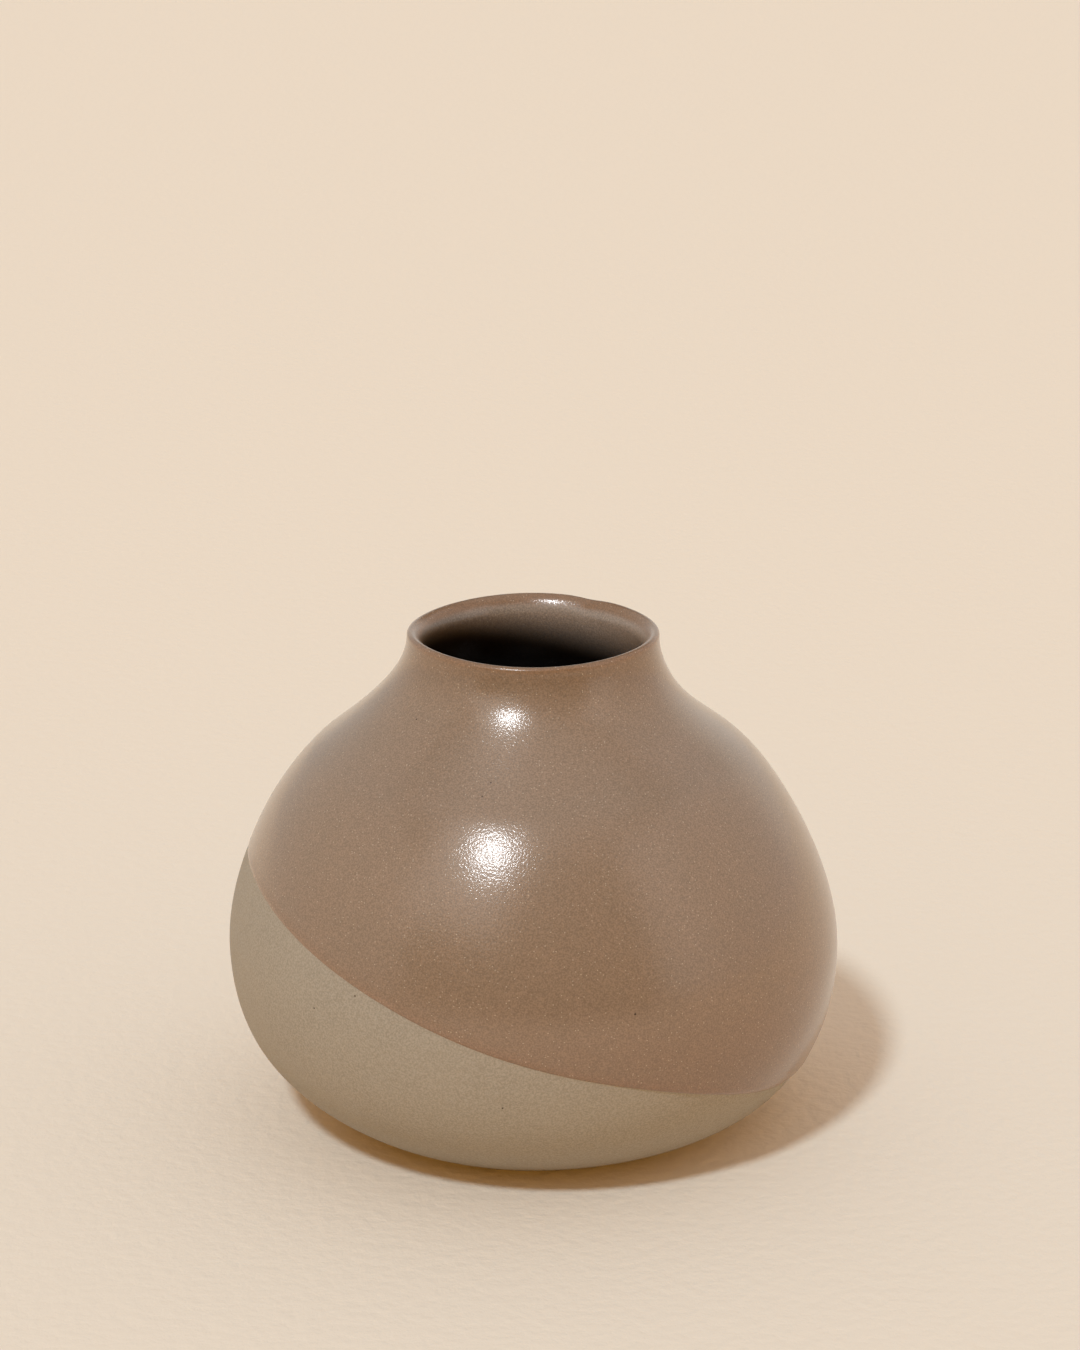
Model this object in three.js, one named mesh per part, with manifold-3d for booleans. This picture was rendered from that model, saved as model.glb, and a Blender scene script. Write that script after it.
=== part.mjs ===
// A small thrown porcelain vase: a squat, full belly, a soft shoulder and a short open neck.
// One clay body carries two coats of glaze. The first lines the inside. The second covers the
// outside from the lip down to a slanting line, where the tilted pot was lowered into the glaze.
// Millimetres, +Z up. The origin is the centre of the foot, on the surface the vase stands on.

import * as THREE from 'three';
import { mergeVertices } from 'three/addons/utils/BufferGeometryUtils.js';
import Module from 'manifold-3d';

// Outline of the bare clay
const footRadius = 26.4;
const footRise = 28.7; // degrees between the surface below and the wall that leaves the foot
const footReach = 5.15;
const bellyRadius = 44.85;
const bellyHeight = 26.1;
const bellyDrop = 19.3;
const bellyLift = 10.8;
const shoulderRadius = 31.6;
const shoulderHeight = 55.35;
const shoulderRise = 43; // degrees
const shoulderDrop = 7.6;
const shoulderLift = 4.7;
const neckDrop = 8.1;

// The lip: tightly rounded on its outer side, softly on its inner side
const lipRadius = 17.6; // to the crown
const lipHeight = 73.25; // to the crown
const lipOuter = 0.4;
const lipInner = 0.8;

// Wall, floor and foot ring
const wall = 2.6;
const floorThickness = 3.6;
const floorRadius = 20; // of the flat middle of the floor inside
const floorReach = 14;
const bowlDrop = 16;
const throatLift = 5;
const throatDrop = 6.5; // the wall widens quickly below the lip
const ringWidth = 3.8;
const recessDepth = 2;
const recessRound = 2.6;

// Glaze
const glaze = 0.3;
const dipHeight = 24.9; // where the edge of the outer coat would cross the centre line
const dipTilt = 19; // degrees
const dipHeading = 176.4; // degrees from +X to the side where the edge is highest

// The hand of the thrower: the wall swells a little to one side at three heights
const underSwell = { height: 5, x: 0.83, y: 0 };
const shoulderSwell = { height: 45.7, reach: 18.8, x: -0.52, y: -0.2 };
const neckSwell = { height: 62.3, reach: 5.4, x: -0.49, y: -0.75 };

// and the lip rises and falls slightly around the mouth
const lipWander = 0.15;
const lipWaves = 3;
const lipCrest = 90; // degrees from +X to one of its high places
const lipFade = 5;

// Fineness of the surfaces
const turns = 54;
const wallSteps = 8;
const neckSteps = 6;
const lipSteps = 2; // on each side of the crown
const bowlSteps = 7;
const recessSteps = 3;

const radians = THREE.MathUtils.degToRad;
const point = (radius, height) => new THREE.Vector2(radius, height);
const along = (start, angle, length) =>
  point(start.x + length * Math.cos(angle), start.y + length * Math.sin(angle));

// A stretch of the section, as points that each know which way the surface faces there.
// The surface faces to the right of the direction of travel.
function sample(curve, steps) {
  return Array.from({ length: steps + 1 }, (_, i) => {
    const heading = curve.getTangent(i / steps);
    return { at: curve.getPoint(i / steps), facing: point(heading.y, -heading.x) };
  });
}

const clay = (place) => place.at;
const offset = (place, distance) => place.at.clone().addScaledVector(place.facing, distance);

// The outside of the clay, from the foot to the lip, in three stretches that run on smoothly.
const foot = point(footRadius, 0);
const belly = point(bellyRadius, bellyHeight);
const shoulder = point(shoulderRadius, shoulderHeight);
const neckTop = point(lipRadius + lipOuter, lipHeight - lipOuter);
const leaning = Math.PI - radians(shoulderRise); // the wall's direction at the shoulder

const underside = new THREE.CubicBezierCurve(
  foot,
  along(foot, radians(footRise), footReach),
  point(bellyRadius, bellyHeight - bellyDrop),
  belly
);
const upperBelly = new THREE.CubicBezierCurve(
  belly,
  point(bellyRadius, bellyHeight + bellyLift),
  along(shoulder, leaning, -shoulderDrop),
  shoulder
);
const neck = new THREE.CubicBezierCurve(
  shoulder,
  along(shoulder, leaning, shoulderLift),
  point(neckTop.x, neckTop.y - neckDrop),
  neckTop
);

const undersideWall = sample(underside, wallSteps);
const upperWall = [...sample(upperBelly, wallSteps), ...sample(neck, neckSteps).slice(1)];
const outside = [...undersideWall, ...upperWall.slice(1)];

// One side of the rounded lip, as a quarter of a circle that touches the crown.
function quarter(round, firstAngle) {
  return Array.from({ length: lipSteps + 1 }, (_, i) => {
    const angle = firstAngle + ((Math.PI / 2) * i) / lipSteps;
    const facing = point(Math.cos(angle), Math.sin(angle));
    return { at: point(lipRadius, lipHeight - round).addScaledVector(facing, round), facing };
  });
}

const lip = [...quarter(lipOuter, 0), ...quarter(lipInner, Math.PI / 2).slice(1)];

// The inside of the belly and shoulder runs parallel to the outside, at the wall's thickness.
const turnedIn = (place) => ({ at: place.at, facing: place.facing.clone().negate() });
const bellyInside = sample(upperBelly, wallSteps).map((place) => ({ ...place, at: offset(place, -wall) }));

// From there the throat closes in to the lip.
const innerShoulder = bellyInside.at(-1).at;
const throatTop = point(lipRadius - lipInner, lipHeight - lipInner);
const throat = new THREE.CubicBezierCurve(
  innerShoulder,
  along(innerShoulder, leaning, throatLift),
  point(throatTop.x, throatTop.y - throatDrop),
  throatTop
);
const insideWall = [...bellyInside, ...sample(throat, neckSteps).slice(1)].map(turnedIn).reverse();

// The bowl of the inside, from the widest part down to the middle of the floor.
const floorHeight = recessDepth + floorThickness;
const floorEdge = point(floorRadius, floorHeight);
const bowlTop = point(bellyRadius - wall, bellyHeight);
const bowl = new THREE.CubicBezierCurve(
  bowlTop,
  point(bowlTop.x, bowlTop.y - bowlDrop),
  point(floorEdge.x + floorReach, floorEdge.y),
  floorEdge
);
const floorMiddle = { at: point(0, floorHeight), facing: point(0, 1) };
const inside = [...insideWall, ...sample(bowl, bowlSteps).slice(1), floorMiddle];

// The turned foot: a flat ring round a shallow recess with a rounded corner.
const ringInner = footRadius - ringWidth;
const recessCorner = Array.from({ length: recessSteps + 1 }, (_, i) => {
  const angle = (Math.PI / 2) * (1 - i / recessSteps);
  return point(ringInner - recessRound * (1 - Math.cos(angle)), recessDepth * Math.sin(angle));
});
const footProfile = [point(0, recessDepth), ...recessCorner];

// Where the hand moved the wall: sideways at each height, and up and down at the lip.
const bell = (z, { height, reach }) => Math.exp(-(((z - height) / reach) ** 2));

function handMade(x, y, z) {
  const low = Math.max(z, 0) / underSwell.height;
  const pastFoot = THREE.MathUtils.smoothstep(Math.hypot(x, y), ringInner, footRadius + ringWidth);
  const under = pastFoot * (low * Math.exp(1 - low)) ** 2;
  const mid = bell(z, shoulderSwell);
  const high = bell(z, neckSwell);
  const turn = Math.atan2(y, x) - radians(lipCrest);
  const nearLip = bell(Math.min(z, lipHeight), { height: lipHeight, reach: lipFade });
  return [
    x + under * underSwell.x + mid * shoulderSwell.x + high * neckSwell.x,
    y + under * underSwell.y + mid * shoulderSwell.y + high * neckSwell.y,
    z + nearLip * lipWander * Math.cos(lipWaves * turn),
  ];
}

// A section turned about the centre line, then moved as the hand moved it.
function thrown(profile) {
  const turned = new THREE.LatheGeometry(profile, turns);
  turned.rotateX(Math.PI / 2);
  turned.deleteAttribute('normal');
  turned.deleteAttribute('uv');
  const merged = mergeVertices(turned);
  const places = merged.attributes.position;
  for (let i = 0; i < places.count; i += 1) {
    places.setXYZ(i, ...handMade(places.getX(i), places.getY(i), places.getZ(i)));
  }
  return merged;
}

// A coat's section runs along the clay in the clay's own direction, so that both have the same
// facets there. That turns its faces inward, and each triangle is turned round again here.
function coating(profile) {
  const coat = thrown(profile);
  const corners = coat.index;
  for (let i = 0; i < corners.count; i += 3) {
    const second = corners.getX(i + 1);
    corners.setX(i + 1, corners.getX(i + 2));
    corners.setX(i + 2, second);
  }
  return coat;
}

const wasm = await Module();
wasm.setup();

function toSolid(geometry) {
  const vertProperties = new Float32Array(geometry.attributes.position.array);
  const triVerts = new Uint32Array(geometry.index.array);
  return new wasm.Manifold(new wasm.Mesh({ numProp: 3, vertProperties, triVerts }));
}

function toGeometry(solid) {
  const mesh = solid.getMesh();
  const geometry = new THREE.BufferGeometry();
  geometry.setAttribute('position', new THREE.BufferAttribute(mesh.vertProperties, 3));
  geometry.setIndex(new THREE.BufferAttribute(mesh.triVerts, 1));
  return geometry;
}

// Everything below the slanting surface of the glaze that the pot was dipped in.
function belowDip() {
  const size = 6 * bellyRadius;
  const block = new THREE.BoxGeometry(size, size, size);
  block.translate(0, 0, -size / 2);
  block.rotateY(-radians(dipTilt));
  block.rotateZ(radians(dipHeading));
  block.translate(0, 0, dipHeight);
  block.deleteAttribute('normal');
  block.deleteAttribute('uv');
  return toSolid(mergeVertices(block));
}

function clayBody() {
  const wallProfile = [...outside, ...lip.slice(1), ...inside.slice(1)];
  return thrown([...footProfile, ...wallProfile.map(clay)]);
}

// The outer coat lies on the clay from the lip down, and ends at the slanting line.
function dipCoat() {
  const covered = [...outside.slice(1), ...lip.slice(1)];
  const under = covered.map(clay);
  const over = covered.map((place) => offset(place, glaze)).reverse();
  const whole = coating([...under, ...over, under[0].clone()]);
  return toGeometry(toSolid(whole).subtract(belowDip()));
}

// The inner coat covers the whole inside and meets the outer coat on the inner side of the lip.
function liningCoat() {
  const under = inside.map(clay);
  const over = inside.map((place) => offset(place, glaze)).reverse();
  return coating([...over, ...under]);
}

function piece(name, geometry, finish) {
  geometry.computeVertexNormals();
  const mesh = new THREE.Mesh(geometry, new THREE.MeshStandardMaterial(finish));
  mesh.name = name;
  return mesh;
}

const vase = new THREE.Group();
vase.add(
  piece('porcelain_body', clayBody(), { color: 0xa08c74, roughness: 0.75, metalness: 0 }),
  piece('dip_glaze_coat', dipCoat(), { color: 0x957a62, roughness: 0.25, metalness: 0 }),
  piece('liner_glaze_coat', liningCoat(), { color: 0x8a7566, roughness: 0.25, metalness: 0 })
);

export default vase;
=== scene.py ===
# %% [markdown]
# # A small dipped porcelain vase
# The vase is one thrown pot under two coats of glaze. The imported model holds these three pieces
# at their real size, but with flat facets. Here each piece gets a fine skin over the same lines,
# and a finish with the grain, crystals, specks and gloss of the real surface.
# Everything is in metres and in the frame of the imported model, so nothing has to be fitted.

import math
from bisect import bisect
from collections import namedtuple

import bmesh
import bpy
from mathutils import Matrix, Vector


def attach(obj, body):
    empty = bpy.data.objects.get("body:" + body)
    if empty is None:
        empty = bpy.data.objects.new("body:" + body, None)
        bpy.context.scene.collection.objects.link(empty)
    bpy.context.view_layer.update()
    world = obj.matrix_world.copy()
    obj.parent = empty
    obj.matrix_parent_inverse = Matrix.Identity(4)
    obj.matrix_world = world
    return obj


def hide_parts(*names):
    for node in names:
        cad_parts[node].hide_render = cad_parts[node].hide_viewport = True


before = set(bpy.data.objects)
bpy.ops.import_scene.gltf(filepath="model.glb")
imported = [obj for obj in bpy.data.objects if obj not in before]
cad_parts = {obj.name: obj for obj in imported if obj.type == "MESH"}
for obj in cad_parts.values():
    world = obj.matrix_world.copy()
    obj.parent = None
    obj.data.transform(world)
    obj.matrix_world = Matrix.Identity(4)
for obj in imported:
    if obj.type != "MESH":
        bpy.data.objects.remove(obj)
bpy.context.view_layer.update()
mm = 0.001
print("packed pieces:", sorted(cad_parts))

# %% [markdown]
# ## The camera
# A vase that is photographed from close by with a short lens looks swollen in front. The long lens
# here keeps its outline calm. The camera could be aimed by a constraint, but its two angles are
# measured from the picture, so they are written down as they are.

# %% Camera
camera_distance = 579.7 * mm  # from the middle of the foot
camera_rise = math.radians(24.26)  # above the table, seen from the middle of the foot
look_down = math.radians(17.99)
look_right = math.radians(0.1)

camera_data = bpy.data.cameras.new("camera")
camera_data.lens = 102.0
camera_data.sensor_width = 36.0
camera = bpy.data.objects.new("camera", camera_data)
camera.location = Vector((0, -math.cos(camera_rise), math.sin(camera_rise))) * camera_distance
camera.rotation_euler = (math.radians(90) - look_down, 0, -look_right)
bpy.context.scene.collection.objects.link(camera)
bpy.context.scene.camera = camera
print("camera height in mm:", round(camera.location.z / mm, 1))

# %% [markdown]
# ## Shader helpers
# Node materials are quicker to read when one line adds one node. `add` makes a node and fills its
# inputs, `join` draws a wire, and `reckon` does one step of arithmetic on numbers or wires.
# `ramp_between` turns a number into a share, and `blend` mixes two colours by such a share.
# Colours are written as a picture editor shows them, from 0 to 255, and turned into light levels.

# %% Shader helpers
mix_share, mix_below, mix_above = 0, 6, 7  # the inputs of a Mix node that mixes colours
mix_colour = 2  # and its output


def join(tree, source, target):
    tree.links.new(source, target)


def add(tree, kind, inputs=None, **settings):
    """A new node. An input that is given another node's output is wired to it."""
    node = tree.nodes.new("ShaderNode" + kind)
    for name, value in settings.items():
        setattr(node, name, value)
    for name, value in (inputs or {}).items():
        if isinstance(value, bpy.types.NodeSocket):
            join(tree, value, node.inputs[name])
        else:
            node.inputs[name].default_value = value
    return node


def reckon(tree, operation, first, second=0.0, clamp=False):
    node = add(tree, "Math", {0: first, 1: second}, operation=operation, use_clamp=clamp)
    return node.outputs[0]


def dot(tree, first, second):
    """How far one direction reaches along another."""
    return add(tree, "VectorMath", {0: first, 1: second}, operation="DOT_PRODUCT").outputs["Value"]


def ramp_between(tree, value, start, end):
    """0 up to start, 1 from end on, with a soft rise between them."""
    inputs = {"Value": value, "From Min": start, "From Max": end}
    return add(tree, "MapRange", inputs, interpolation_type="SMOOTHSTEP").outputs["Result"]


def blend(tree, share, below, above, mode="MIX"):
    """The colour below, covered by the colour above as far as the share says."""
    inputs = {mix_share: share, mix_below: below, mix_above: above}
    return add(tree, "Mix", inputs, data_type="RGBA", blend_type=mode).outputs[mix_colour]


def paint(red, green, blue):
    """The light level of a colour from 0 to 255, by the curve that every screen follows."""
    levels = []
    for value in (red, green, blue):
        share = value / 255
        levels.append(share / 12.92 if share <= 0.04045 else ((share + 0.055) / 1.055) ** 2.4)
    return (*levels, 1.0)


print("a middle grey of 128 is a light level of", round(paint(128, 128, 128)[0], 3))

# %% [markdown]
# ## Node groups
# A pattern that is needed more than once is built once, as a node group with named inputs and
# outputs. `start_group` opens a new one and hands back its two ends. `use_group` places it in a
# material, or in another group, with its own values.

# %% Node groups
def start_group(name, inputs, outputs):
    tree = bpy.data.node_groups.new(name, "ShaderNodeTree")
    for label, kind, value in inputs:
        socket = tree.interface.new_socket(label, in_out="INPUT", socket_type="NodeSocket" + kind)
        if value is not None:
            socket.default_value = value
    for label, kind in outputs:
        tree.interface.new_socket(label, in_out="OUTPUT", socket_type="NodeSocket" + kind)
    source = tree.nodes.new("NodeGroupInput").outputs
    target = tree.nodes.new("NodeGroupOutput").inputs
    return tree, source, target


def use_group(tree, group, inputs):
    return add(tree, "Group", inputs, node_tree=group).outputs


print("node groups so far:", len(bpy.data.node_groups))

# %% [markdown]
# ## The table
# The vase stands on a large sheet of warm, pale paper that runs on behind it. One flat sheet is
# enough, because the camera looks down and never sees its far edge. Its faint fibres come from
# noise that only moves the surface normal. In the real room the sheet seems to end in front of the
# vase, where the floor is dark. Only the glaze sees that end, so only its reflections show it.

# %% Table
table_half = 3.0
sheet_front = -0.4
sheet_colour = paint(231, 214, 195)
sheet_roughness = 0.9
sheet_specular = 0.1
fibre_size = 2.2 * mm
fibre_depth = 0.25 * mm
fibre_detail = 4.0
floor_colour = paint(70, 62, 54)

table_mesh = bpy.data.meshes.new("table")
corners = [(-table_half, -table_half, 0), (table_half, -table_half, 0)]
corners += [(table_half, table_half, 0), (-table_half, table_half, 0)]
table_mesh.from_pydata(corners, [], [(0, 1, 2, 3)])
table = bpy.data.objects.new("table", table_mesh)
bpy.context.scene.collection.objects.link(table)


def paper():
    material = bpy.data.materials.new("pale_paper")
    material.use_nodes = True
    tree = material.node_tree
    surface = tree.nodes["Principled BSDF"]
    surface.inputs["Base Color"].default_value = sheet_colour
    surface.inputs["Roughness"].default_value = sheet_roughness
    surface.inputs["Specular IOR Level"].default_value = sheet_specular
    place = add(tree, "TexCoord").outputs["Object"]
    inputs = {"Vector": place, "Scale": 1 / fibre_size, "Detail": fibre_detail}
    fibres = add(tree, "TexNoise", inputs)
    bump = add(tree, "Bump", {"Distance": fibre_depth, "Height": fibres.outputs["Fac"]})
    join(tree, bump.outputs["Normal"], surface.inputs["Normal"])

    forward = add(tree, "SeparateXYZ", {0: place}).outputs["Y"]
    past_front = reckon(tree, "LESS_THAN", forward, sheet_front)
    mirrored = add(tree, "LightPath").outputs["Is Glossy Ray"]
    dark_floor = add(tree, "BsdfDiffuse", {"Color": floor_colour})
    choice = add(tree, "MixShader", {0: reckon(tree, "MULTIPLY", past_front, mirrored)})
    join(tree, surface.outputs[0], choice.inputs[1])
    join(tree, dark_floor.outputs[0], choice.inputs[2])
    join(tree, choice.outputs[0], tree.nodes["Material Output"].inputs["Surface"])
    return material


table_mesh.materials.append(paper())
print("table:", 2 * table_half, "m square")

# %% [markdown]
# ## The key light
# One lamp stands to the front left, well above the vase. It draws the crisp shadow on the right and
# the bright spots on the glaze. A lamp nearby would light the near side of the table more than the
# far side, and the real table is evenly lit, so a sun lamp is used. Its angle is the width that the
# real lamp has when it is seen from the vase, and it sets how soft the shadow's edge is. Two lamps
# share the work: `key` lights but has no mirror image, and `glint` is only mirrored. So the bright
# spots get their size and place, and the shadow keeps its own.

# %% Key light
key_heading = math.radians(-116)  # from +X, seen from above
key_rise = math.radians(50.7)
key_width = math.radians(6.5)
key_share = (0.335, 0.425, 0.495)  # of the light on the table, in red, green and blue
glint_heading = math.radians(-113.2)
glint_rise = math.radians(54)
glint_width = math.radians(11.5)
glint_share = (0.25, 0.26, 0.27)


def far_lamp(name, heading_angle, rise, share, width):
    towards = Vector((math.cos(heading_angle), math.sin(heading_angle), 0)) * math.cos(rise)
    towards.z = math.sin(rise)
    data = bpy.data.lights.new(name, "SUN")
    data.angle = width
    data.energy = max(share) * math.pi / math.sin(rise)
    data.color = [part / max(share) for part in share]
    lamp = bpy.data.objects.new(name, data)
    lamp.location = towards
    lamp.rotation_euler = towards.to_track_quat("Z", "Y").to_euler()
    bpy.context.scene.collection.objects.link(lamp)
    print(name, "strength:", round(data.energy, 2))
    return lamp


key = far_lamp("key", key_heading, key_rise, key_share, key_width)
key.visible_glossy = False
glint = far_lamp("glint", glint_heading, glint_rise, glint_share, glint_width)
glint.visible_diffuse = False

# %% [markdown]
# ## The room
# The room does two jobs. Its soft light fills the shadows: a cool sky, brightest over the back
# right, and a warm glow along the horizon, which the belly hides from the paper beneath it. And a
# glossy pot is a mirror of its room. Real cards could be modelled for it, but they would throw
# shadows and show up in other views. So the world paints them by direction, for reflections only.
# `card` is a rectangle that faces the vase one metre away: half its width, the heights of its lower
# and upper edge and the softness of its edges are in metres too.

# %% A card in the room
nearly_nothing = 0.001  # so that nothing is divided by zero


def make_card():
    inputs = [("Direction", "Vector", None), ("Ahead", "Vector", None), ("Beside", "Vector", None)]
    inputs += [("Half", "Float", 1.0), ("Bottom", "Float", 0.0), ("Top", "Float", 1.0)]
    inputs += [("Blur", "Float", 0.03)]
    tree, source, target = start_group("card", inputs, [("Mask", "Float")])
    ahead = dot(tree, source["Direction"], source["Ahead"])
    beside = dot(tree, source["Direction"], source["Beside"])
    upward = add(tree, "SeparateXYZ", {0: source["Direction"]}).outputs["Z"]
    reach = reckon(tree, "MAXIMUM", ahead, nearly_nothing)
    across = reckon(tree, "ABSOLUTE", reckon(tree, "DIVIDE", beside, reach))
    height = reckon(tree, "DIVIDE", upward, reach)

    def inside_of(value, edge, sign):
        gap = reckon(tree, "MULTIPLY", reckon(tree, "SUBTRACT", edge, value), sign)
        share = reckon(tree, "DIVIDE", gap, source["Blur"])
        return reckon(tree, "ADD", share, 0.5, clamp=True)

    mask = reckon(tree, "GREATER_THAN", ahead, 0.0)
    mask = reckon(tree, "MULTIPLY", mask, inside_of(across, source["Half"], 1.0))
    mask = reckon(tree, "MULTIPLY", mask, inside_of(height, source["Top"], 1.0))
    mask = reckon(tree, "MULTIPLY", mask, inside_of(height, source["Bottom"], -1.0))
    join(tree, mask, target["Mask"])
    return tree


card = make_card()
print("a card has", len(card.nodes), "nodes")

# %% [markdown]
# ## What the glaze mirrors
# The glaze shows a pale card on the right, brighter at the end nearer to the camera, a pale wall on
# the left, the backdrop behind, a bright ceiling, a square of lit cloth round the lamp, and a dark
# side behind the camera. One row of the list is one card, with its direction in degrees and its
# colour as light levels. Each card covers the ones before it.

# %% What the glaze mirrors
Card = namedtuple("Card", "name heading half bottom top blur colour")
cards = [
    Card("right card", 4.5, 1.02, -0.05, 1.2, 0.02, (0.55, 0.55, 0.55, 1.0)),
    Card("lit end of the right card", -28.5, 0.23, -0.05, 1.2, 0.03, (0.74, 0.73, 0.72, 1.0)),
    Card("left wall", 164, 1.48, -0.05, 1.2, 0.10, (0.54, 0.52, 0.49, 1.0)),
    Card("backdrop", 75, 0.67, -0.05, 0.45, 0.10, (0.78, 0.74, 0.68, 1.0)),
    Card("cloth round the lamp", -125, 0.42, 0.5, 2.2, 0.10, (1.0, 0.98, 0.94, 1.0)),
]
dark_side = (0.04, 0.04, 0.04, 1.0)
ceiling = (0.52, 0.50, 0.48, 1.0)
ceiling_starts = math.sin(math.radians(48))
ceiling_full = math.sin(math.radians(62))

room = bpy.data.worlds.new("room")
bpy.context.scene.world = room
room.use_nodes = True
room_tree = room.node_tree
direction = add(room_tree, "TexCoord").outputs["Generated"]
upward = add(room_tree, "SeparateXYZ", {0: direction}).outputs["Z"]
overhead = ramp_between(room_tree, upward, ceiling_starts, ceiling_full)
colour = blend(room_tree, overhead, dark_side, ceiling)
for item in cards:
    turn = math.radians(item.heading)
    inputs = {"Direction": direction, "Half": item.half, "Bottom": item.bottom, "Top": item.top}
    inputs["Ahead"] = (math.cos(turn), math.sin(turn), 0)
    inputs["Beside"] = (-math.sin(turn), math.cos(turn), 0)
    inputs["Blur"] = item.blur
    mask = use_group(room_tree, card, inputs)["Mask"]
    colour = blend(room_tree, mask, colour, item.colour)
mirrored_room = add(room_tree, "Background", {"Color": colour, "Strength": 1.0})
print("cards in the room:", [item.name for item in cards])

# %% [markdown]
# ## Soft light and background
# The soft light reaches everything that isn't a mirror. Each kind of ray gets its own picture of
# the room: the camera sees the colour of the paper, the glaze the cards, and the rest the soft light.

# %% Soft light and background
sky = (0.50, 0.53, 0.567)
sky_heading = math.radians(60)
sky_lean = 0.8  # how much brighter the sky is on that side
sky_starts = math.sin(math.radians(3))
sky_full = math.sin(math.radians(37))
horizon = (2.18, 1.16, 0.19, 1.0)

turned = dot(room_tree, direction, (math.cos(sky_heading), math.sin(sky_heading), 0))
brightness = reckon(room_tree, "ADD", reckon(room_tree, "MULTIPLY", turned, sky_lean), 1.0)
scaled = {0: sky, "Scale": brightness}
skyward = add(room_tree, "VectorMath", scaled, operation="SCALE").outputs["Vector"]
risen = ramp_between(room_tree, upward, sky_starts, sky_full)
soft_light = room_tree.nodes["Background"]
join(room_tree, blend(room_tree, risen, horizon, skyward), soft_light.inputs["Color"])
seen_room = add(room_tree, "Background", {"Color": sheet_colour, "Strength": 1.0})

rays = add(room_tree, "LightPath").outputs
mirror_or_fill = add(room_tree, "MixShader", {0: rays["Is Glossy Ray"]})
join(room_tree, soft_light.outputs[0], mirror_or_fill.inputs[1])
join(room_tree, mirrored_room.outputs[0], mirror_or_fill.inputs[2])
either = add(room_tree, "MixShader", {0: rays["Is Camera Ray"]})
join(room_tree, mirror_or_fill.outputs[0], either.inputs[1])
join(room_tree, seen_room.outputs[0], either.inputs[2])
join(room_tree, either.outputs[0], room_tree.nodes["World Output"].inputs["Surface"])
bpy.context.scene.view_settings.view_transform = "Standard"
print("the room has", len(room_tree.nodes), "nodes")

# %% [markdown]
# ## The outline of the clay
# A thrown pot is round about its centre line, so one outline makes the whole wall. It runs in
# three smooth stretches from the foot to the neck, then over the rounded lip. Each stretch is one
# cubic curve, because four points give an even curvature and are easy to move. Beside each point
# stands the way the surface faces there, which the coats need later to lie on the clay.

# %% Outline
foot_radius = 26.4 * mm
foot_rise = math.radians(28.7)
foot_reach = 5.15 * mm
belly_radius = 44.85 * mm
belly_height = 26.1 * mm
belly_drop = 19.3 * mm
belly_lift = 10.8 * mm
shoulder_radius = 31.6 * mm
shoulder_height = 55.35 * mm
shoulder_rise = math.radians(43)
shoulder_drop = 7.6 * mm
shoulder_lift = 4.7 * mm
neck_drop = 8.1 * mm
lip_radius = 17.7 * mm  # to the crown, the highest line of the lip
lip_height = 73.25 * mm
lip_outer = 0.3 * mm  # the lip is rounded tightly on its outer side
lip_inner = 1.5 * mm  # and goes in softly by this much
lip_depth = 2.3 * mm  # while it falls by this much
crown_reach = 0.45 * mm  # the inner side runs level this far
slope_reach = 1.1 * mm  # and ends as steep as this
curve_steps = 160

Place = namedtuple("Place", "point facing")


def heading(angle):
    return Vector((math.cos(angle), math.sin(angle)))


def trace(start, leave, arrive, end, steps=curve_steps):
    """Places along a cubic curve. The surface faces to the right of the direction of travel."""
    places = []
    for i in range(steps + 1):
        t = i / steps
        u = 1 - t
        point = start * u**3 + leave * (3 * u * u * t) + arrive * (3 * u * t * t) + end * t**3
        ahead = (leave - start) * u * u + (arrive - leave) * 2 * u * t + (end - arrive) * t * t
        places.append(Place(point, Vector((ahead.y, -ahead.x)).normalized()))
    return places


foot = Vector((foot_radius, 0))
belly = Vector((belly_radius, belly_height))
shoulder = Vector((shoulder_radius, shoulder_height))
neck_top = Vector((lip_radius + lip_outer, lip_height - lip_outer))
leaning = heading(math.pi - shoulder_rise)

foot_bend = foot + heading(foot_rise) * foot_reach
belly_bend = belly + Vector((0, belly_lift))
shoulder_bend = shoulder + leaning * shoulder_lift
under_belly = trace(foot, foot_bend, belly - Vector((0, belly_drop)), belly)
upper_belly = trace(belly, belly_bend, shoulder - leaning * shoulder_drop, shoulder)
neck = trace(shoulder, shoulder_bend, neck_top - Vector((0, neck_drop)), neck_top)

lip_steps = 24


def outer_lip():
    """A quarter of a circle from the neck up to the crown."""
    middle = Vector((lip_radius, lip_height - lip_outer))
    outward = [heading(math.pi / 2 * i / lip_steps) for i in range(lip_steps + 1)]
    return [Place(middle + way * lip_outer, way) for way in outward]


crown = Vector((lip_radius, lip_height))
throat_top = Vector((lip_radius - lip_inner, lip_height - lip_depth))
crown_bend = crown - Vector((crown_reach, 0))
inner_lip = trace(crown, crown_bend, throat_top + Vector((0, slope_reach)), throat_top, lip_steps)
outside_places = under_belly + upper_belly[1:] + neck[1:] + outer_lip()[1:] + inner_lip[1:]
print("the outline has", len(outside_places), "places")

# %% [markdown]
# ## Distances along a line
# The edge of the glaze sits at another height on every side, so the mesh needs to ask where the
# wall is at a given distance along the outline. `Line` keeps the running length of its places and
# finds the two nearest ones, which is simpler than solving the curve for its length.

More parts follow.
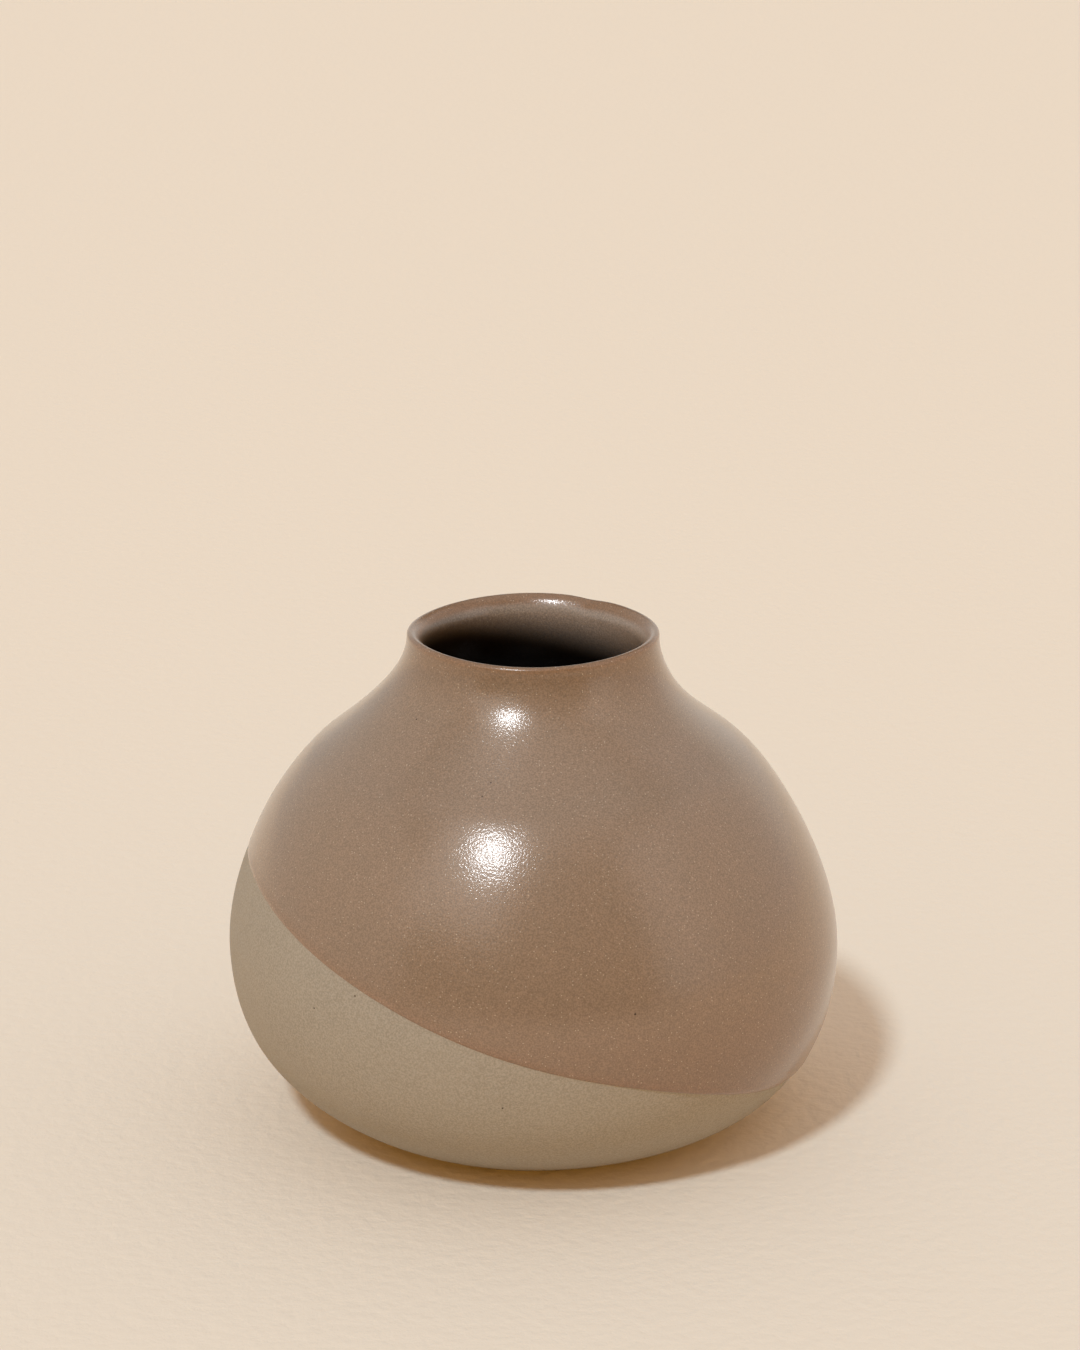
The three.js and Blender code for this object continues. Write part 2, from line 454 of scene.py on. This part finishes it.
# %% Distances along a line
class Line:
    def __init__(self, places):
        self.places = places
        self.reach = [0.0]
        for before, after in zip(places, places[1:]):
            self.reach.append(self.reach[-1] + (after.point - before.point).length)
        self.length = self.reach[-1]

    def at(self, distance):
        i = min(max(bisect(self.reach, distance) - 1, 0), len(self.places) - 2)
        share = (distance - self.reach[i]) / (self.reach[i + 1] - self.reach[i])
        before, after = self.places[i], self.places[i + 1]
        facing = before.facing.lerp(after.facing, share).normalized()
        return Place(before.point.lerp(after.point, share), facing)


outside = Line(outside_places)
lip_crown = outside.length - Line(inner_lip).length
lip_start = lip_crown - math.pi / 2 * lip_outer
print("foot to lip along the wall:", round(outside.length / mm, 1), "mm")

# %% [markdown]
# ## The hand of the thrower
# A turned mesh is too perfect for a thrown pot. The real wall swells a little to one side at three
# heights, its lip rises and falls by a hair in three slow waves, and one spot at the back of the
# lip was touched while it was soft. All pieces pass through this one function, so they move
# together and stay seated on each other.

# %% The hand of the thrower
ring_width = 3.8 * mm
ring_inner = foot_radius - ring_width
under_swell_height = 5 * mm
under_swell = Vector((0.83, 0, 0)) * mm
shoulder_swell_height = 45.7 * mm
shoulder_swell_reach = 18.8 * mm
shoulder_swell = Vector((-0.52, -0.2, 0)) * mm
neck_swell_height = 62.3 * mm
neck_swell_reach = 5.4 * mm
neck_swell = Vector((-0.49, -0.75, 0)) * mm
lip_wander = 0.15 * mm
lip_waves = 3
lip_crest = math.radians(90)
lip_fade = 5 * mm
dent_heading = math.radians(61)
dent_half = math.radians(8)
dent_depth = 0.22 * mm
dent_fade = 2.2 * mm


def smooth_rise(value, start, end):
    share = min(max((value - start) / (end - start), 0.0), 1.0)
    return share * share * (3 - 2 * share)


def bell(value, centre, reach):
    return math.exp(-(((value - centre) / reach) ** 2))


def by_hand(x, y, z):
    """Where the hand left a point of the turned shape."""
    low = max(z, 0) / under_swell_height
    past_foot = smooth_rise(math.hypot(x, y), ring_inner, foot_radius + ring_width)
    moved = Vector((x, y, z))
    moved += under_swell * past_foot * (low * math.exp(1 - low)) ** 2
    moved += shoulder_swell * bell(z, shoulder_swell_height, shoulder_swell_reach)
    moved += neck_swell * bell(z, neck_swell_height, neck_swell_reach)
    turn = math.atan2(y, x)
    near_lip = bell(min(z, lip_height), lip_height, lip_fade)
    moved.z += lip_wander * near_lip * math.cos(lip_waves * (turn - lip_crest))
    touched = bell(turn, dent_heading, dent_half) * bell(min(z, lip_height), lip_height, dent_fade)
    moved.z -= dent_depth * touched
    return moved


def thrown(radius, height, turn):
    """The finished place of a point of the section, in this direction round the vase."""
    return by_hand(radius * math.cos(turn), radius * math.sin(turn), height)


middle_of_swell = by_hand(0, 0, shoulder_swell_height)
print("the shoulder moves by", (middle_of_swell.xy / mm).to_tuple(2), "mm")

# %% [markdown]
# ## From rows to a closed skin
# Every piece is a stack of rings. A row holds one spot of the section for each column, or a single
# spot where the ring closes on the centre line. Neighbouring rows are bridged with four-sided
# faces. Two small numbers can ride on each vertex, for the finish of the outer glaze: how far it is
# from the crown of the lip, and how far from the edge of the glaze. Spinning a profile with a
# modifier would be shorter, but its rows could not follow the slanting edge.

# %% From rows to a closed skin
columns = 320
turns = [2 * math.pi * i / columns for i in range(columns)]
Spot = namedtuple("Spot", "point lip edge", defaults=(0.0, 0.0))


def same_all_round(point):
    return [Spot(point)] * columns


def bridge(build, low, high):
    for i in range(columns):
        j = (i + 1) % columns
        if len(low) == 1:
            build.faces.new((low[0], high[j], high[i]))
        elif len(high) == 1:
            build.faces.new((low[i], low[j], high[0]))
        else:
            build.faces.new((low[i], low[j], high[j], high[i]))


def skin(name, rows, closed_loop=False, creases=()):
    """A closed mesh over the rows. Rows listed in creases keep a sharp edge."""
    build = bmesh.new()
    from_lip = build.verts.layers.float.new("from_lip")
    from_edge = build.verts.layers.float.new("from_edge")
    rings = []
    for row in rows:
        ring = []
        for turn, spot in zip(turns, row):
            radius, height = spot.point
            vertex = build.verts.new(thrown(radius, height, turn))
            vertex[from_lip] = spot.lip / mm
            vertex[from_edge] = spot.edge / mm
            ring.append(vertex)
        rings.append(ring)
    for low, high in zip(rings, rings[1:]):
        bridge(build, low, high)
    if closed_loop:
        bridge(build, rings[-1], rings[0])
    bmesh.ops.recalc_face_normals(build, faces=build.faces)
    for face in build.faces:
        face.smooth = True
    for crease in creases:
        ring = rings[crease]
        for first, second in zip(ring, ring[1:] + ring[:1]):
            build.edges.get((first, second)).smooth = False
    mesh = bpy.data.meshes.new(name)
    build.to_mesh(mesh)
    build.free()
    piece = bpy.data.objects.new(name, mesh)
    bpy.context.scene.collection.objects.link(piece)
    print(name, "has", len(mesh.polygons), "faces")
    return piece


def spaced(start, end, step):
    """Distances from start to end, both kept, at an even spacing close to step."""
    count = max(round((end - start) / step), 1)
    return [start + (end - start) * i / count for i in range(count + 1)]


# %% [markdown]
# ## The inside of the wall
# Under the lip the throat widens quickly, which is one reason why the mouth looks dark so soon
# below its edge. Past the shoulder the inside runs parallel to the outside, and from the widest
# part one curve makes the bowl and runs flat into the floor.

# %% Inside of the wall
wall = 2.6 * mm
throat_drop = 5 * mm
throat_lift = 5 * mm
floor_thickness = 3.6 * mm
floor_radius = 20 * mm
floor_reach = 14 * mm
bowl_drop = 16 * mm
recess_depth = 2 * mm
recess_round = 2.6 * mm


def turned_in(places):
    return [Place(place.point, -place.facing) for place in reversed(places)]


belly_inside = [Place(place.point - place.facing * wall, place.facing) for place in upper_belly]
inner_shoulder = belly_inside[-1].point
throat_bend = inner_shoulder + leaning * throat_lift
throat = trace(inner_shoulder, throat_bend, throat_top - Vector((0, throat_drop)), throat_top)
inside_places = turned_in(throat) + turned_in(belly_inside)[1:]

floor_height = recess_depth + floor_thickness
bowl_top = Vector((belly_radius - wall, belly_height))
floor_edge = Vector((floor_radius, floor_height))
bowl_end = floor_edge + Vector((floor_reach, 0))
inside_places += trace(bowl_top, bowl_top - Vector((0, bowl_drop)), bowl_end, floor_edge)[1:]
inside_places.append(Place(Vector((0, floor_height)), Vector((0, 1))))
inside = Line(inside_places)
print("lip to the middle of the floor:", round(inside.length / mm, 1), "mm")

# %% [markdown]
# ## The clay body
# One closed skin covers the pot from the middle of the recess under the foot, over the ring that it
# stands on, up the outside, over the lip and down to the middle of the floor. Only its lower part
# stays bare, but the rest is there too, as it is in the real pot.

# %% Clay body
wall_step = 0.8 * mm
lip_step = 0.08 * mm
bowl_step = 1.5 * mm
recess_steps = 10


def clay_rows():
    rows = [[Spot(Vector((0, recess_depth)))]]
    for i in range(recess_steps + 1):
        angle = math.pi / 2 * (1 - i / recess_steps)
        radius = ring_inner - recess_round * (1 - math.cos(angle))
        rows.append(same_all_round(Vector((radius, recess_depth * math.sin(angle)))))
    foot_row = len(rows)
    distances = spaced(0.0, lip_start, wall_step)
    distances += spaced(lip_start, outside.length, lip_step)[1:]
    rows += [same_all_round(outside.at(distance).point) for distance in distances]
    distances = spaced(0.0, inside.length, bowl_step)[1:-1]
    rows += [same_all_round(inside.at(distance).point) for distance in distances]
    rows.append([Spot(Vector((0, floor_height)))])
    return rows, (foot_row - 1, foot_row)


rows, foot_creases = clay_rows()
clay_body = skin("clay_body", rows, creases=foot_creases)

# %% [markdown]
# ## The slanting edge of the outer glaze
# The pot was held by the foot and lowered into the glaze at a tilt, so the edge lies in a plane.
# The bath was never quite still, and the edge wanders about that plane by a millimetre or so. For
# each column the distance of the edge from the foot is found by halving the gap between a point
# that is surely below the edge and one that is surely above it.

# %% Slanting edge
dip_height = 25.2 * mm
dip_tilt = math.radians(19)
dip_heading = math.radians(176.4)
uphill = heading(dip_heading) * math.tan(dip_tilt)
halvings = 30
Wave = namedtuple("Wave", "count height crest")
bath_waves = [
    Wave(2, 0.4 * mm, math.radians(41.7)),
    Wave(4, 0.74 * mm, math.radians(20.6)),
    Wave(6, 0.22 * mm, math.radians(2.1)),
]


def crossing(is_below):
    """The distance along the outside up to which is_below holds."""
    below, above = 0.0, lip_start
    for _ in range(halvings):
        middle = (below + above) / 2
        if is_below(middle):
            below = middle
        else:
            above = middle
    return below


def above_edge(distance, turn):
    radius, height = outside.at(distance).point
    spot = thrown(radius, height, turn)
    bath = dip_height + uphill.x * spot.x + uphill.y * spot.y
    bath += sum(wave.height * math.cos(wave.count * (turn - wave.crest)) for wave in bath_waves)
    return spot.z - bath


edges = [crossing(lambda distance: above_edge(distance, turn) < 0) for turn in turns]
lowest, highest = round(min(edges) / mm, 1), round(max(edges) / mm, 1)
print("the edge lies", lowest, "to", highest, "mm from the foot")

# %% [markdown]
# ## The outer coat of glaze
# Glaze is a liquid when it is fired, so its edge is rounded. It also runs: on the high side of the
# slanting edge it thins out, and on the low side it gathers in a low roll. The coat is a closed
# shell of that thickness: its outer skin starts at the edge and ends on the inner side of the lip,
# and its under side goes back along the clay.

# %% Outer coat
glaze = 0.3 * mm
edge_round = 0.7 * mm
roll_height = 0.06 * mm
roll_place = 1.1 * mm
roll_reach = 0.5 * mm
thin_share = 0.65  # how much of the glaze is gone at the edge, where that is highest
thin_reach = 10 * mm
# The rows lie closest together where the edge is round: these are millimetres from the edge.
near_edge = [0.0, 0.02, 0.05, 0.1, 0.16, 0.24, 0.34, 0.46, 0.6, 0.8, 1.05, 1.4, 1.9, 2.6, 3.5]
coat_rows = 96  # from there to the lip


def coat_thickness(distance, turn):
    """The glaze this far from its edge along the wall, and in this direction round the vase."""
    high_side = (1 + math.cos(turn - dip_heading)) / 2
    thinned = thin_share * high_side * (1 - smooth_rise(distance, 0.0, thin_reach))
    roll = roll_height * (1 - high_side) * bell(distance, roll_place, roll_reach)
    inward = max(1 - distance / edge_round, 0.0)
    return math.sqrt(1 - inward**2) * (glaze * (1 - thinned) + roll)


def coat_distances(edge):
    """Distances along the outside from this edge to the inner side of the lip."""
    distances = [edge + step * mm for step in near_edge]
    rest = lip_start - distances[-1]
    distances += [distances[-1] + rest * i / coat_rows for i in range(1, coat_rows + 1)]
    return distances + spaced(lip_start, outside.length, lip_step)[1:]


def coat_spots():
    by_column = []
    for turn, edge in zip(turns, edges):
        over, under = [], []
        for distance in coat_distances(edge):
            place = outside.at(distance)
            lip_away, edge_away = lip_crown - distance, distance - edge
            raised = place.point + place.facing * coat_thickness(edge_away, turn)
            over.append(Spot(raised, lip_away, edge_away))
            under.append(Spot(place.point, lip_away, edge_away))
        by_column.append(over + under[1:][::-1])
    return [list(row) for row in zip(*by_column)]


rows = coat_spots()
outer_rows = len(coat_distances(edges[0]))
outer_coat = skin("outer_glaze", rows, closed_loop=True, creases=(0, outer_rows - 1, outer_rows))

# %% [markdown]
# ## The liner glaze
# A vase has to hold water, so the inside was filled with glaze and poured out. The lining meets the
# outer coat on the inner side of the lip, where the two melted together.

# %% Liner glaze
liner_step = 0.9 * mm
first_steps = [0.0, 0.02, 0.1, 0.3]  # millimetres from the seam with the outer coat


def liner_rows():
    distances = [step * mm for step in first_steps]
    distances += spaced(distances[-1], inside.length, liner_step)[1:-1]
    over, under = [], []
    for distance in distances:
        place = inside.at(distance)
        over.append(same_all_round(place.point + place.facing * glaze))
        under.append(same_all_round(place.point))
    over.append([Spot(Vector((0, floor_height + glaze)))])
    under.append([Spot(Vector((0, floor_height)))])
    return under[::-1] + over, len(under) - 1


rows, join_row = liner_rows()
liner = skin("liner_glaze", rows, creases=(join_row, join_row + 1))

# %% [markdown]
# ## Effects that the finishes share
# Each effect is a node group with named inputs and outputs, so that a material can place it with
# its own values. Sizes go in as millimetres, and every group reads the place on the object.
#
# `ripple` is the fine unevenness of a fired surface, `crystals` the pale points that float in the
# glaze, `drift` the slow change of tone over some millimetres, and `pinhead` one small round mark
# at a chosen place.

# %% Shared effects
crystal_core = 0.4  # the share of a crystal that shows in full, from its middle outward
pinhead_core = 0.6
drift_detail = 2.0


def make_ripple():
    inputs = [("Place", "Vector", None), ("Size", "Float", 0.7), ("Detail", "Float", 1.0)]
    tree, source, target = start_group("ripple", inputs, [("Height", "Float")])
    scale = reckon(tree, "DIVIDE", 1 / mm, source["Size"])
    inputs = {"Vector": source["Place"], "Scale": scale, "Detail": source["Detail"]}
    noise = add(tree, "TexNoise", inputs)
    join(tree, noise.outputs["Fac"], target["Height"])
    return tree


def make_crystals():
    inputs = [("Place", "Vector", None), ("Spacing", "Float", 0.5)]
    inputs += [("Size", "Float", 0.25), ("Share", "Float", 0.4)]
    tree, source, target = start_group("crystals", inputs, [("Mask", "Float")])
    scale = reckon(tree, "DIVIDE", 1 / mm, source["Spacing"])
    cells = add(tree, "TexVoronoi", {"Vector": source["Place"], "Scale": scale})
    chance = add(tree, "SeparateColor", {"Color": cells.outputs["Color"]}).outputs["Red"]
    chosen = reckon(tree, "LESS_THAN", chance, source["Share"])
    inner = reckon(tree, "MULTIPLY", source["Size"], crystal_core)
    far = ramp_between(tree, cells.outputs["Distance"], inner, source["Size"])
    near = reckon(tree, "SUBTRACT", 1.0, far)
    join(tree, reckon(tree, "MULTIPLY", near, chosen), target["Mask"])
    return tree


def make_drift():
    inputs = [("Place", "Vector", None), ("Size", "Float", 12.0), ("Contrast", "Float", 2.0)]
    tree, source, target = start_group("drift", inputs, [("Tone", "Float")])
    scale = reckon(tree, "DIVIDE", 1 / mm, source["Size"])
    inputs = {"Vector": source["Place"], "Scale": scale, "Detail": drift_detail}
    noise = add(tree, "TexNoise", inputs)
    centred = reckon(tree, "SUBTRACT", noise.outputs["Fac"], 0.5)
    scaled = reckon(tree, "MULTIPLY", centred, source["Contrast"])
    join(tree, reckon(tree, "ADD", scaled, 0.5, clamp=True), target["Tone"])
    return tree


def make_pinhead():
    inputs = [("Place", "Vector", None), ("Centre", "Vector", None), ("Radius", "Float", 0.15)]
    tree, source, target = start_group("pinhead", inputs, [("Mask", "Float")])
    apart = add(tree, "VectorMath", {0: source["Place"], 1: source["Centre"]}, operation="DISTANCE")
    in_mm = reckon(tree, "DIVIDE", apart.outputs["Value"], mm)
    inner = reckon(tree, "MULTIPLY", source["Radius"], pinhead_core)
    far = ramp_between(tree, in_mm, inner, source["Radius"])
    join(tree, reckon(tree, "SUBTRACT", 1.0, far), target["Mask"])
    return tree


ripple = make_ripple()
crystals = make_crystals()
drift = make_drift()
pinhead = make_pinhead()
print("groups so far:", [group.name for group in bpy.data.node_groups])

# %% [markdown]
# ## Specks of iron
# A few grains of iron burned through here and there. Each is given by its direction round the vase
# in degrees, and its height and radius in millimetres. `on_wall` finds the point of the surface
# there, so the marks follow the wall if a size changes.

# %% Specks of iron
Speck = namedtuple("Speck", "heading height radius")
glaze_specks = [
    Speck(-137.9, 64.7, 0.16),
    Speck(-101.3, 59.4, 0.14),
    Speck(-103.2, 57.9, 0.14),
    Speck(-71.4, 31.2, 0.2),
]
clay_specks = [
    Speck(-123.7, 31.7, 0.16),
    Speck(-133.1, 28.1, 0.16),
    Speck(-95.7, 17.7, 0.16),
]


def on_wall(speck, lift):
    """The middle of a speck, on a surface that lies this far above the clay."""
    distance = crossing(lambda distance: outside.at(distance).point.y < speck.height * mm)
    place = outside.at(distance)
    radius, height = place.point + place.facing * lift
    return thrown(radius, height, math.radians(speck.heading))


def all_specks(tree, place, specks, lift):
    """One mask for every speck in the list."""
    mask = 0.0
    for speck in specks:
        inputs = {"Place": place, "Centre": on_wall(speck, lift), "Radius": speck.radius}
        spot = use_group(tree, pinhead, inputs)["Mask"]
        mask = reckon(tree, "MAXIMUM", spot, mask)
    return mask


print("specks:", len(glaze_specks) + len(clay_specks))

# %% [markdown]
# ## Bare clay
# The unglazed porcelain is a warm grey with a hint of green. It is matte, but so fine that it feels
# like eggshell: the grain is only about a quarter of a millimetre. The same grain lightens the
# colour and raises the surface, so the two agree.

# %% Bare clay
clay_roughness = 0.6
clay_specular = 0.35
clay_dark = paint(136, 128, 116)
clay_light = paint(142, 134, 122)
clay_grain_tone = paint(158, 150, 139)
clay_grain_depth = 0.03 * mm
clay_speck_tone = paint(70, 54, 42)
grain_starts = 0.3  # the part of the noise's range from 0 to 1 that makes a grain
grain_full = 0.7


def start_material(name, roughness, specular):
    material = bpy.data.materials.new(name)
    material.use_nodes = True
    tree = material.node_tree
    surface = tree.nodes["Principled BSDF"]
    surface.inputs["Roughness"].default_value = roughness
    surface.inputs["Specular IOR Level"].default_value = specular
    place = add(tree, "TexCoord").outputs["Object"]
    return material, tree, surface, place


def bare_clay():
    name = "bare_porcelain"
    material, tree, surface, place = start_material(name, clay_roughness, clay_specular)
    tone = use_group(tree, drift, {"Place": place, "Size": 9.0, "Contrast": 1.6})["Tone"]
    colour = blend(tree, tone, clay_dark, clay_light)
    grain = use_group(tree, ripple, {"Place": place, "Size": 0.26, "Detail": 2.0})["Height"]
    fine = ramp_between(tree, grain, grain_starts, grain_full)
    colour = blend(tree, fine, colour, clay_grain_tone)
    colour = blend(tree, all_specks(tree, place, clay_specks, 0.0), colour, clay_speck_tone)
    join(tree, colour, surface.inputs["Base Color"])
    bump = add(tree, "Bump", {"Distance": clay_grain_depth, "Height": grain})
    join(tree, bump.outputs["Normal"], surface.inputs["Normal"])
    return material


clay_body.data.materials.append(bare_clay())
print("finished in bare clay:", clay_body.name)

# %% [markdown]
# ## The gloss of the glaze
# The skin of the glaze is dimpled like the peel of an orange, which breaks the image of the lamp
# into many small sparks. One gloss cannot show both the sparks and the soft glow round them, so a
# softer coat without dimples lies over the crisp skin.

# %% Gloss
glaze_roughness = 0.14
glaze_specular = 0.5
soft_weight = 0.6
soft_roughness = 0.32
dimple_depth = 0.034 * mm


def start_glaze(name):
    """A material with the gloss of the glaze, still without its colour."""
    material, tree, surface, place = start_material(name, glaze_roughness, glaze_specular)
    surface.inputs["Coat Weight"].default_value = soft_weight
    surface.inputs["Coat Roughness"].default_value = soft_roughness
    dimples = use_group(tree, ripple, {"Place": place, "Size": 0.3, "Detail": 1.0})["Height"]
    bump = add(tree, "Bump", {"Distance": dimple_depth, "Height": dimples})
    join(tree, bump.outputs["Normal"], surface.inputs["Normal"])
    return material, tree, surface, place


print("glaze roughness:", glaze_roughness, "under a coat of", soft_roughness)

# %% [markdown]
# ## The grain of the glaze
# Seen close, the taupe of the glaze is busy. Its tone drifts a little, a fine grain makes it
# lighter and darker, and pale points float in it. Both coats of glaze have this, in colours of
# their own, so it is one more group. It is made of the groups above.

# %% Grain of the glaze
# The colour is multiplied by a tone between each dark and light one.
drift_dark = (0.97, 0.98, 0.98, 1.0)
drift_light = (1.03, 1.02, 1.02, 1.0)
grain_dark = (0.82, 0.82, 0.81, 1.0)
grain_light = (1.18, 1.18, 1.19, 1.0)

point_tone = paint(200, 186, 168)
point_strength = 0.5


def make_glaze_grain():
    inputs = [("Place", "Vector", None), ("Colour", "Color", None)]
    tree, source, target = start_group("glaze_grain", inputs, [("Colour", "Color")])
    place = source["Place"]
    tone = use_group(tree, drift, {"Place": place, "Size": 5.5, "Contrast": 1.6})["Tone"]
    shade = blend(tree, tone, drift_dark, drift_light)
    colour = blend(tree, 1.0, source["Colour"], shade, "MULTIPLY")
    grain = use_group(tree, ripple, {"Place": place, "Size": 0.23, "Detail": 1.5})["Height"]
    fine = ramp_between(tree, grain, grain_starts, grain_full)
    shade = blend(tree, fine, grain_dark, grain_light)
    colour = blend(tree, 1.0, colour, shade, "MULTIPLY")
    inputs = {"Place": place, "Spacing": 0.38, "Size": 0.3, "Share": 0.16}
    points = use_group(tree, crystals, inputs)["Mask"]
    colour = blend(tree, reckon(tree, "MULTIPLY", points, point_strength), colour, point_tone)
    join(tree, colour, target["Colour"])
    return tree


glaze_grain = make_glaze_grain()
print("the grain of the glaze takes", len(glaze_grain.nodes), "nodes")

# %% [markdown]
# ## The colour of the lining, and its painted shade
# Inside, the vase is a greyer taupe, and it turns nearly black a few millimetres under the lip, and
# sooner on the left, although the lamp still reaches there. Light alone does not explain that, so
# the inside is painted darker with depth, as painted shade, down from a slanting line. The outer
# coat ends on the inner side of the lip, and takes the same colour there, painted shade included,
# so that no seam shows.

# %% Lining
liner_tone = paint(149, 132, 119)
# painted shade: the nearly black colour that the deep inside is painted
painted_well_shade = paint(34, 25, 18)
# the painted shade fades in between these two heights, along a slant that is lower on the right
liner_above = 72.2 * mm
painted_shade_below = 65.0 * mm
painted_shade_slant = 0.22


def make_lining_and_shade():
    tree, source, target = start_group("lining_and_shade", [("Place", "Vector", None)], [("Colour", "Color")])
    ways = add(tree, "SeparateXYZ", {0: source["Place"]}).outputs
    # painted shade: darker with depth below a slanting line
    slanted = reckon(tree, "ADD", ways["Z"], reckon(tree, "MULTIPLY", ways["X"], painted_shade_slant))
    unshaded = ramp_between(tree, slanted, painted_shade_below, liner_above)
    inputs = {"Place": source["Place"], "Colour": liner_tone}
    grained = use_group(tree, glaze_grain, inputs)["Colour"]
    join(tree, blend(tree, unshaded, painted_well_shade, grained), target["Colour"])
    return tree


def liner_finish():
    material, tree, surface, place = start_glaze("liner_glaze")
    join(tree, use_group(tree, lining_and_shade, {"Place": place})["Colour"], surface.inputs["Base Color"])
    return material


lining_and_shade = make_lining_and_shade()
liner.data.materials.append(liner_finish())
print("the inside darkens over", round((liner_above - painted_shade_below) / mm, 1), "mm")

# %% [markdown]
# ## The colour of the outer coat
# The outer coat is a warm taupe that grows lighter towards the shoulder. It is browner below the
# lip, and a little redder along the slanting edge. Over the crown of the lip it runs thin, and the
# clay burns through in orange brown. The two numbers on the vertices tell the finish where it is.

# %% Outer coat's finish
lower_tone = paint(124, 101, 83)
lower_until = 12 * mm
upper_tone = paint(134, 113, 95)
upper_from = 52 * mm
edge_tone = paint(128, 97, 75)
edge_width = 2.5  # millimetres, as are the other widths on the wall
edge_strength = 0.35
burnt_tone = paint(111, 87, 67)
burnt_width = 8.0
burnt_strength = 0.5
crown_tone = paint(136, 100, 71)
crown_middle = -0.7  # inside the highest line
crown_starts = 0.8  # to either side of that middle
crown_ends = 1.7
crown_strength = 0.5
liner_starts = -1.1
liner_full = -2.0
speck_tone = paint(62, 46, 36)


def fading(tree, distance, start, end, strength):
    """As much as strength says up to start, and nothing from end on."""
    near = reckon(tree, "SUBTRACT", 1.0, ramp_between(tree, distance, start, end))
    return reckon(tree, "MULTIPLY", near, strength)


def outer_finish():
    material, tree, surface, place = start_glaze("dip_glaze")
    height = add(tree, "SeparateXYZ", {0: place}).outputs["Z"]
    risen = ramp_between(tree, height, lower_until, upper_from)
    colour = blend(tree, risen, lower_tone, upper_tone)
    from_edge = add(tree, "Attribute", attribute_name="from_edge").outputs["Fac"]
    along_edge = fading(tree, from_edge, 0.0, edge_width, edge_strength)
    colour = blend(tree, along_edge, colour, edge_tone)
    from_lip = add(tree, "Attribute", attribute_name="from_lip").outputs["Fac"]
    burnt = fading(tree, from_lip, 0.0, burnt_width, burnt_strength)
    colour = blend(tree, burnt, colour, burnt_tone)
    from_crown = reckon(tree, "ABSOLUTE", reckon(tree, "SUBTRACT", from_lip, crown_middle))
    on_crown = fading(tree, from_crown, crown_starts, crown_ends, crown_strength)
    colour = blend(tree, on_crown, colour, crown_tone)
    colour = use_group(tree, glaze_grain, {"Place": place, "Colour": colour})["Colour"]
    # the inner side of the lip takes the lining's colour, with its painted shade
    still_outer = ramp_between(tree, from_lip, liner_full, liner_starts)
    lining_with_shade = use_group(tree, lining_and_shade, {"Place": place})["Colour"]
    colour = blend(tree, still_outer, lining_with_shade, colour)
    colour = blend(tree, all_specks(tree, place, glaze_specks, glaze), colour, speck_tone)
    join(tree, colour, surface.inputs["Base Color"])
    return material


outer_coat.data.materials.append(outer_finish())
print("finished in glaze:", outer_coat.name, "and", liner.name)

# %% [markdown]
# ## Seat the pieces on the frame
# The fine skins stand for the imported pieces, which stay hidden underneath. Each skin's material
# carries the name of the slot of the piece that it stands for.

# %% Seat the pieces
stands_for = [
    (clay_body, "porcelain_body", "bare_porcelain"),
    (outer_coat, "dip_glaze_coat", "dip_glaze"),
    (liner, "liner_glaze_coat", "liner_glaze"),
]
for piece, node, slot in stands_for:
    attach(piece, "root")
    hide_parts(node)
